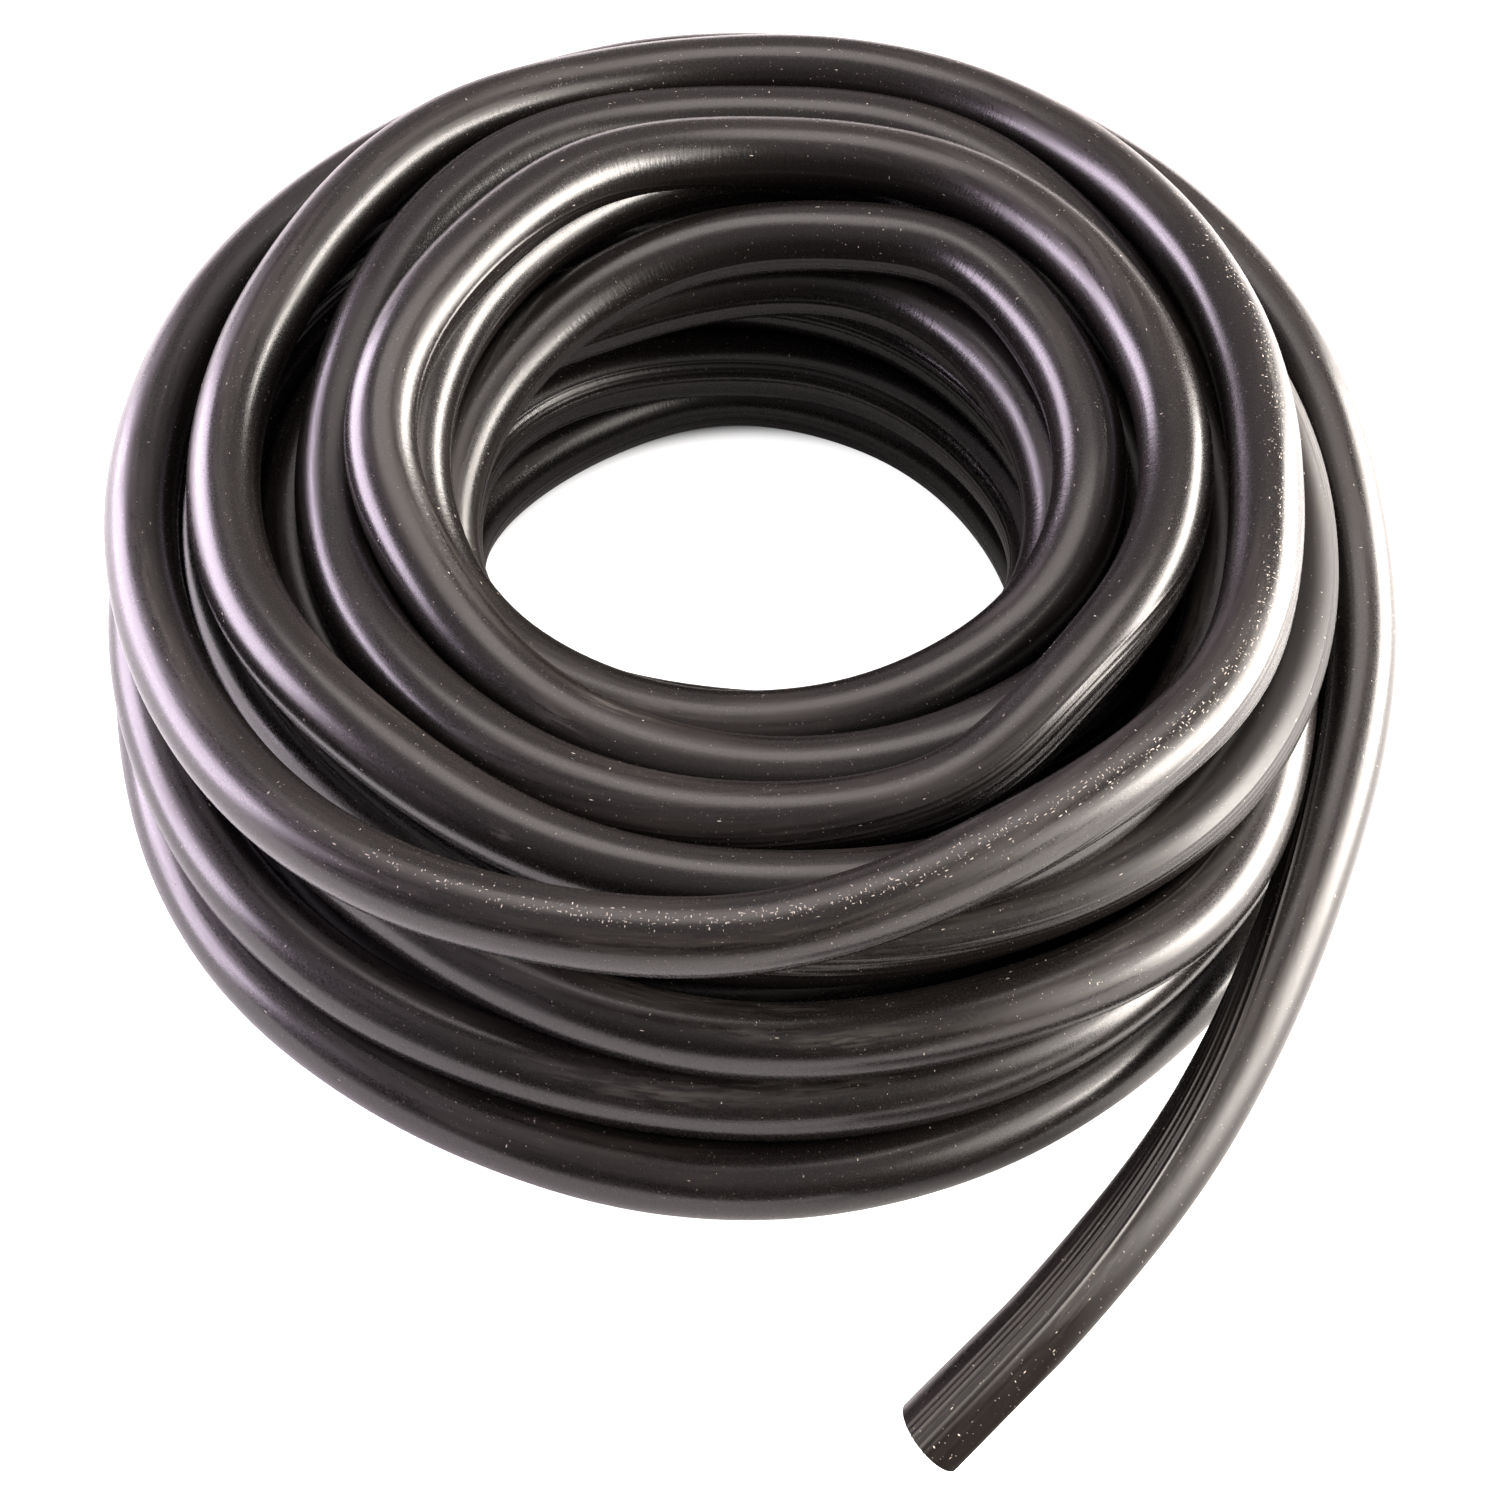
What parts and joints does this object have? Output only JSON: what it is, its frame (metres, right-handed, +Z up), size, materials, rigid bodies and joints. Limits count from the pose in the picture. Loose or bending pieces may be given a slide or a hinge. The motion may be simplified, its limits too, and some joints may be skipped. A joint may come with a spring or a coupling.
{
  "type": "soaker hose",
  "caption": "Flexible black rubber hose with a finely ribbed band, laid in a loose hand-wound coil, one plain-cut end lying free in front, the other inside the coil.",
  "frame": {"origin": "centre of the coil's and tail's common footprint, on the floor plane the hose lies on", "axes": "+Z up out of the coil, +Y away from the free tail's cut end, +X to the right seen from the tail side"},
  "size_m": [0.3212, 0.4034, 0.1039],
  "materials": {
    "hose_rubber": "semi-gloss extruded black rubber with a fine ribbed band along one side"
  },
  "bodies": {
    "coil": {"coil_layer_1_bottom": "hose_rubber", "coil_layer_2": "hose_rubber", "coil_layer_3": "hose_rubber", "coil_layer_4": "hose_rubber", "coil_layer_5_top": "hose_rubber"},
    "inner_end_length_1": {"inner_end_length_1": "hose_rubber"},
    "inner_end_length_2": {"inner_end_length_2": "hose_rubber"},
    "inner_end_tip": {"inner_end_tip": "hose_rubber"},
    "tail_length_01": {"tail_length_01": "hose_rubber"},
    "tail_length_02": {"tail_length_02": "hose_rubber"},
    "tail_length_03": {"tail_length_03": "hose_rubber"},
    "tail_length_04": {"tail_length_04": "hose_rubber"},
    "tail_length_05": {"tail_length_05": "hose_rubber"},
    "tail_length_06": {"tail_length_06": "hose_rubber"},
    "tail_length_07": {"tail_length_07": "hose_rubber"},
    "tail_length_08": {"tail_length_08": "hose_rubber"},
    "tail_length_09": {"tail_length_09": "hose_rubber"},
    "tail_length_10": {"tail_length_10": "hose_rubber"},
    "tail_length_11": {"tail_length_11": "hose_rubber"},
    "tail_length_12": {"tail_length_12": "hose_rubber"},
    "tail_tip": {"tail_tip": "hose_rubber"}
  },
  "joints": [
    {"name": "tail_peel", "type": "hinge", "parent": "coil", "child": "tail_length_01", "pos_m": [0.09727, 0.15286, 0.05517], "axis": [0, 0, 1], "range_deg": [0, 8]},
    {"name": "tail_peel_02", "type": "hinge", "parent": "tail_length_01", "child": "tail_length_02", "pos_m": [0.11685, 0.13022, 0.0542], "axis": [0, 0, 1], "range_deg": [0, 8]},
    {"name": "tail_peel_03", "type": "hinge", "parent": "tail_length_02", "child": "tail_length_03", "pos_m": [0.13173, 0.10425, 0.05309], "axis": [0, 0, 1], "range_deg": [0, 8]},
    {"name": "tail_peel_04", "type": "hinge", "parent": "tail_length_03", "child": "tail_length_04", "pos_m": [0.14137, 0.07594, 0.05138], "axis": [0, 0, 1], "range_deg": [0, 8]},
    {"name": "tail_peel_05", "type": "hinge", "parent": "tail_length_04", "child": "tail_length_05", "pos_m": [0.14609, 0.04646, 0.04872], "axis": [0, 0, 1], "range_deg": [0, 8]},
    {"name": "tail_peel_06", "type": "hinge", "parent": "tail_length_05", "child": "tail_length_06", "pos_m": [0.14702, 0.0167, 0.0452], "axis": [0, 0, 1], "range_deg": [0, 8]},
    {"name": "tail_peel_07", "type": "hinge", "parent": "tail_length_06", "child": "tail_length_07", "pos_m": [0.14389, -0.01276, 0.0407], "axis": [0, 0, 1], "range_deg": [0, 8]},
    {"name": "tail_peel_08", "type": "hinge", "parent": "tail_length_07", "child": "tail_length_08", "pos_m": [0.13643, -0.04121, 0.0349], "axis": [0, 0, 1], "range_deg": [0, 8]},
    {"name": "tip_swing", "type": "hinge", "parent": "tail_length_08", "child": "tail_length_09", "pos_m": [0.12608, -0.06847, 0.02792], "axis": [0, 0, 1], "range_deg": [-8, 8]},
    {"name": "tip_lift", "type": "hinge", "parent": "tail_length_09", "child": "tail_length_10", "pos_m": [0.11369, -0.09477, 0.02055], "axis": [-0.8866, 0.4625, 0], "range_deg": [0, 8]},
    {"name": "tip_swing_11", "type": "hinge", "parent": "tail_length_10", "child": "tail_length_11", "pos_m": [0.09874, -0.12, 0.01429], "axis": [0, 0, 1], "range_deg": [-8, 8]},
    {"name": "tip_lift_12", "type": "hinge", "parent": "tail_length_11", "child": "tail_length_12", "pos_m": [0.08101, -0.14388, 0.01053], "axis": [-0.7808, 0.6247, 0], "range_deg": [0, 8]},
    {"name": "tip_swing_13", "type": "hinge", "parent": "tail_length_12", "child": "tail_tip", "pos_m": [0.06169, -0.16678, 0.00909], "axis": [0, 0, 1], "range_deg": [-5, 5]},
    {"name": "inner_end_swing", "type": "hinge", "parent": "coil", "child": "inner_end_length_1", "pos_m": [-0.05445, 0.09527, 0.00986], "axis": [0, 0, 1], "range_deg": [0, 7]},
    {"name": "inner_end_swing_02", "type": "hinge", "parent": "inner_end_length_1", "child": "inner_end_length_2", "pos_m": [-0.0727, 0.07176, 0.01145], "axis": [0, 0, 1], "range_deg": [0, 7]},
    {"name": "inner_end_swing_03", "type": "hinge", "parent": "inner_end_length_2", "child": "inner_end_tip", "pos_m": [-0.07612, 0.04162, 0.01156], "axis": [0, 0, 1], "range_deg": [0, 7]}
  ],
  "couplings": [
    {"joint": "tail_peel_02", "follows": "tail_peel", "ratio": 1},
    {"joint": "tail_peel_03", "follows": "tail_peel", "ratio": 1},
    {"joint": "tail_peel_04", "follows": "tail_peel", "ratio": 1},
    {"joint": "tail_peel_05", "follows": "tail_peel", "ratio": 1},
    {"joint": "tail_peel_06", "follows": "tail_peel", "ratio": 1},
    {"joint": "tail_peel_07", "follows": "tail_peel", "ratio": 1},
    {"joint": "tail_peel_08", "follows": "tail_peel", "ratio": 1},
    {"joint": "tip_swing_11", "follows": "tip_swing", "ratio": 1},
    {"joint": "tip_lift_12", "follows": "tip_lift", "ratio": 1},
    {"joint": "tip_swing_13", "follows": "tip_swing", "ratio": 0.625},
    {"joint": "inner_end_swing_02", "follows": "inner_end_swing", "ratio": 1},
    {"joint": "inner_end_swing_03", "follows": "inner_end_swing", "ratio": 1}
  ]
}
